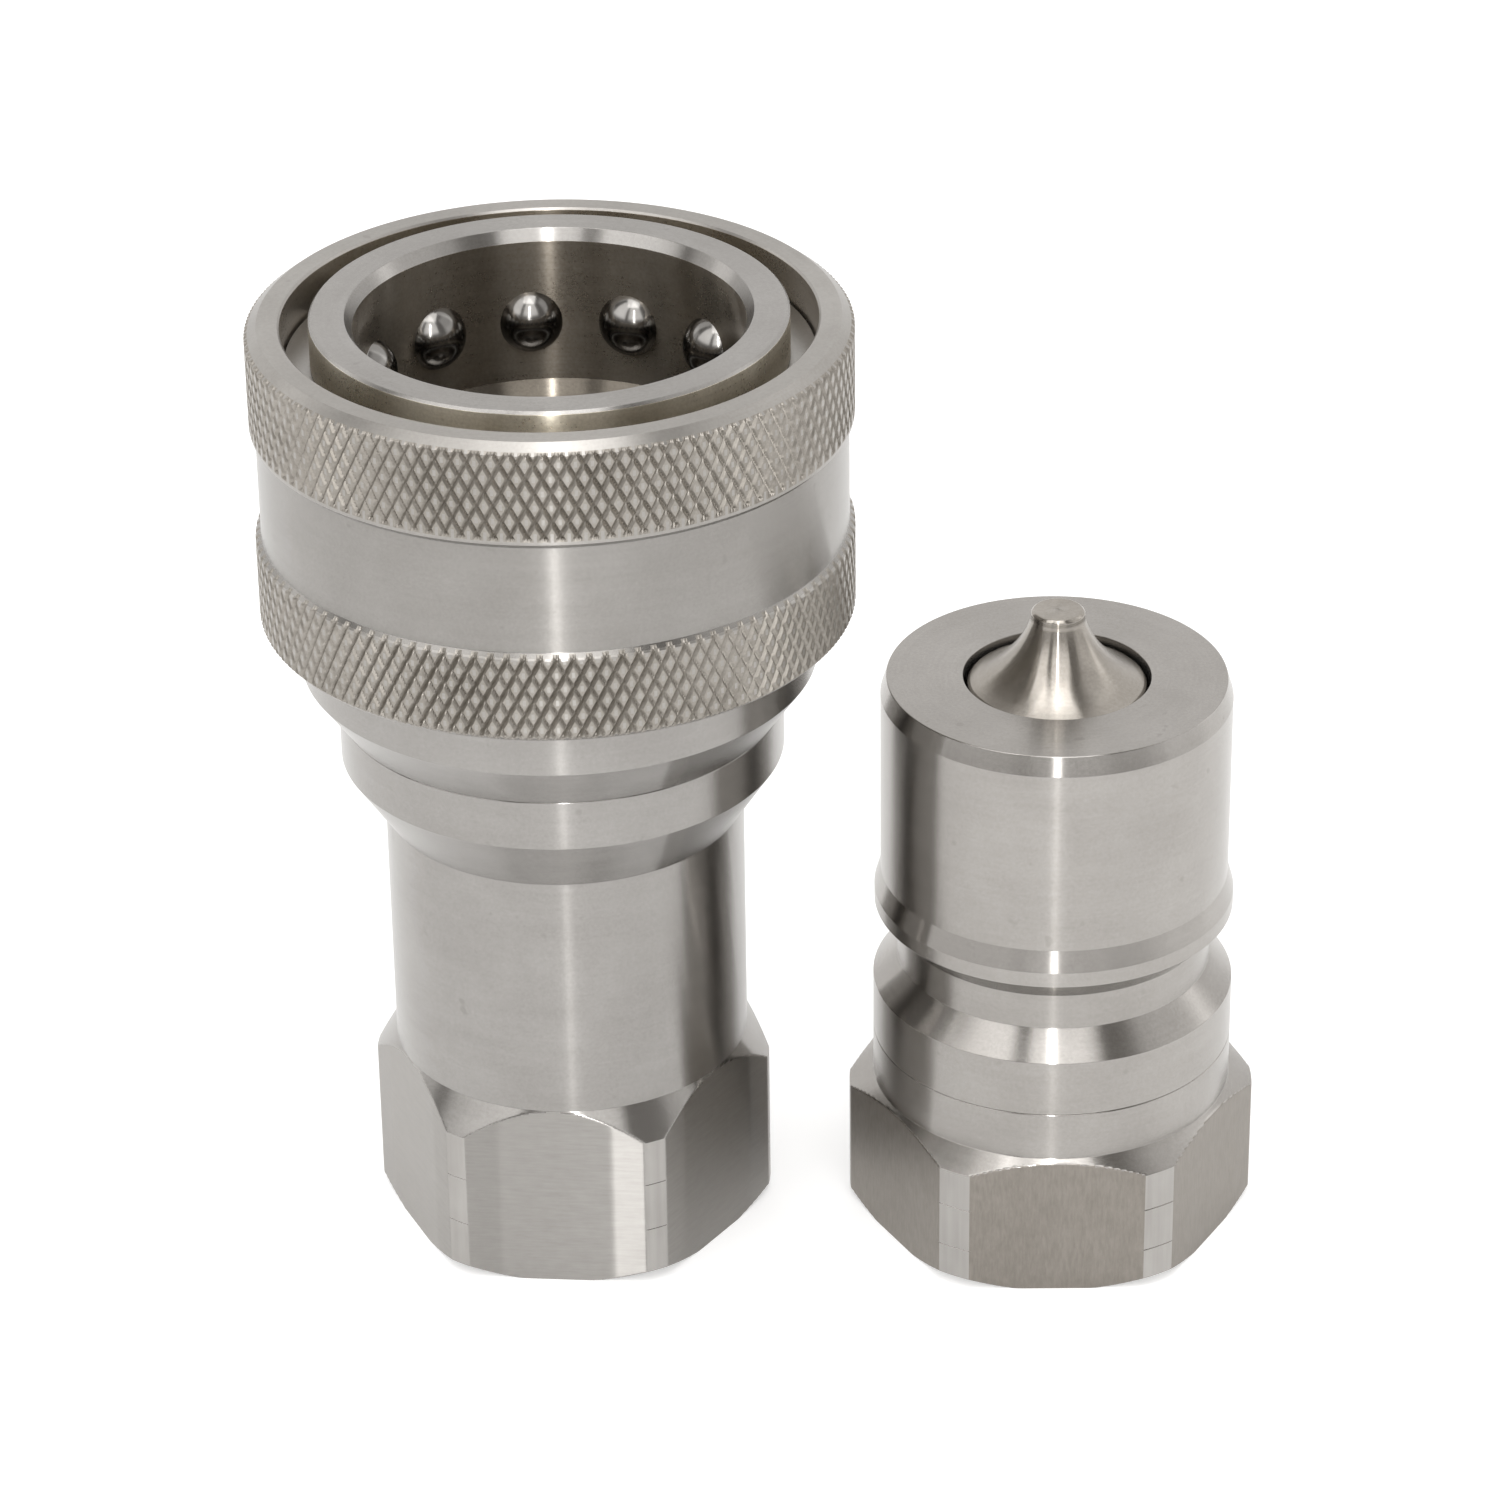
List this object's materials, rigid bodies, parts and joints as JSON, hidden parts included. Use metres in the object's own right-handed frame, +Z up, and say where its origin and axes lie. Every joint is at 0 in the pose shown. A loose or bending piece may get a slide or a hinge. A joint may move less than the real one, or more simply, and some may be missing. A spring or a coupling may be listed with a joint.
{
  "type": "quick disconnect coupler",
  "caption": "Stainless hydraulic quick coupling, uncoupled: a socket half with a knurled pull-back sleeve and locking balls beside its plug half, both with poppet valves.",
  "frame": {"origin": "on the socket half's axis, at the annular port face that it stands on", "axes": "+Z up along both halves' axes, towards the socket's mouth and the plug's nose; +X from the socket half to the plug half"},
  "size_m": [0.0888, 0.0524, 0.0893],
  "materials": {
    "turned_steel": "turned stainless steel, fine lines round the axis",
    "knurled_steel": "turned stainless steel with two diamond-knurled bands",
    "ball_steel": "polished stainless steel",
    "spring_steel": "drawn stainless wire, smooth",
    "seal_rubber": "black moulded nitrile, satin",
    "seal_plastic": "white PTFE, matt"
  },
  "bodies": {
    "socket": {"socket_body": "turned_steel", "socket_adapter": "turned_steel", "socket_body_seal": "seal_rubber", "socket_mouth_seal": "seal_rubber", "socket_backup_ring": "seal_plastic", "sleeve_snap_ring": "spring_steel", "sleeve_spring": "spring_steel", "socket_valve_guide": "turned_steel", "socket_valve_spring": "spring_steel"},
    "sleeve": {"sleeve": "knurled_steel"},
    "socket_poppet": {"socket_valve": "turned_steel", "socket_valve_seal": "seal_rubber"},
    "plug": {"plug_body": "turned_steel", "plug_adapter": "turned_steel", "plug_body_seal": "seal_rubber", "plug_valve_guide": "turned_steel", "plug_valve_spring": "spring_steel"},
    "plug_poppet": {"plug_valve": "turned_steel", "plug_valve_seal": "seal_rubber"},
    "ball_01": {"ball_01": "ball_steel"},
    "ball_02": {"ball_02": "ball_steel"},
    "ball_03": {"ball_03": "ball_steel"},
    "ball_04": {"ball_04": "ball_steel"},
    "ball_05": {"ball_05": "ball_steel"},
    "ball_06": {"ball_06": "ball_steel"},
    "ball_07": {"ball_07": "ball_steel"},
    "ball_08": {"ball_08": "ball_steel"},
    "ball_09": {"ball_09": "ball_steel"},
    "ball_10": {"ball_10": "ball_steel"},
    "ball_11": {"ball_11": "ball_steel"},
    "ball_12": {"ball_12": "ball_steel"}
  },
  "joints": [
    {"name": "sleeve_slide", "type": "slide", "parent": "socket", "child": "sleeve", "axis": [0, 0, -1], "range_m": [0, 0.007], "stiffness_N_per_m": 4000, "springref_m": -0.004, "deforming": ["sleeve_spring"]},
    {"name": "ball_01_slide", "type": "slide", "parent": "socket", "child": "ball_01", "axis": [0.9863, 0.165, 0], "range_m": [0, 0.00142]},
    {"name": "ball_02_slide", "type": "slide", "parent": "socket", "child": "ball_02", "axis": [0.7716, 0.6361, 0], "range_m": [0, 0.00142]},
    {"name": "ball_03_slide", "type": "slide", "parent": "socket", "child": "ball_03", "axis": [0.3502, 0.9367, 0], "range_m": [0, 0.00142]},
    {"name": "ball_04_slide", "type": "slide", "parent": "socket", "child": "ball_04", "axis": [-0.165, 0.9863, 0], "range_m": [0, 0.00142]},
    {"name": "ball_05_slide", "type": "slide", "parent": "socket", "child": "ball_05", "axis": [-0.6361, 0.7716, 0], "range_m": [0, 0.00142]},
    {"name": "ball_06_slide", "type": "slide", "parent": "socket", "child": "ball_06", "axis": [-0.9367, 0.3502, 0], "range_m": [0, 0.00142]},
    {"name": "ball_07_slide", "type": "slide", "parent": "socket", "child": "ball_07", "axis": [-0.9863, -0.165, 0], "range_m": [0, 0.00142]},
    {"name": "ball_08_slide", "type": "slide", "parent": "socket", "child": "ball_08", "axis": [-0.7716, -0.6361, 0], "range_m": [0, 0.00142]},
    {"name": "ball_09_slide", "type": "slide", "parent": "socket", "child": "ball_09", "axis": [-0.3502, -0.9367, 0], "range_m": [0, 0.00142]},
    {"name": "ball_10_slide", "type": "slide", "parent": "socket", "child": "ball_10", "axis": [0.165, -0.9863, 0], "range_m": [0, 0.00142]},
    {"name": "ball_11_slide", "type": "slide", "parent": "socket", "child": "ball_11", "axis": [0.6361, -0.7716, 0], "range_m": [0, 0.00142]},
    {"name": "ball_12_slide", "type": "slide", "parent": "socket", "child": "ball_12", "axis": [0.9367, -0.3502, 0], "range_m": [0, 0.00142]},
    {"name": "socket_valve_slide", "type": "slide", "parent": "socket", "child": "socket_poppet", "axis": [0, 0, -1], "range_m": [0, 0.0065], "stiffness_N_per_m": 2500, "springref_m": -0.006, "deforming": ["socket_valve_spring"]},
    {"name": "plug_lift", "type": "slide", "parent": "socket", "child": "plug", "axis": [0, 0, 1], "range_m": [0, 0.04]},
    {"name": "plug_valve_slide", "type": "slide", "parent": "plug", "child": "plug_poppet", "axis": [0, 0, -1], "range_m": [0, 0.0065], "stiffness_N_per_m": 2500, "springref_m": -0.006, "deforming": ["plug_valve_spring"]}
  ],
  "couplings": [
    {"joint": "ball_01_slide", "follows": "sleeve_slide", "ratio": 0.2},
    {"joint": "ball_02_slide", "follows": "sleeve_slide", "ratio": 0.2},
    {"joint": "ball_03_slide", "follows": "sleeve_slide", "ratio": 0.2},
    {"joint": "ball_04_slide", "follows": "sleeve_slide", "ratio": 0.2},
    {"joint": "ball_05_slide", "follows": "sleeve_slide", "ratio": 0.2},
    {"joint": "ball_06_slide", "follows": "sleeve_slide", "ratio": 0.2},
    {"joint": "ball_07_slide", "follows": "sleeve_slide", "ratio": 0.2},
    {"joint": "ball_08_slide", "follows": "sleeve_slide", "ratio": 0.2},
    {"joint": "ball_09_slide", "follows": "sleeve_slide", "ratio": 0.2},
    {"joint": "ball_10_slide", "follows": "sleeve_slide", "ratio": 0.2},
    {"joint": "ball_11_slide", "follows": "sleeve_slide", "ratio": 0.2},
    {"joint": "ball_12_slide", "follows": "sleeve_slide", "ratio": 0.2}
  ]
}
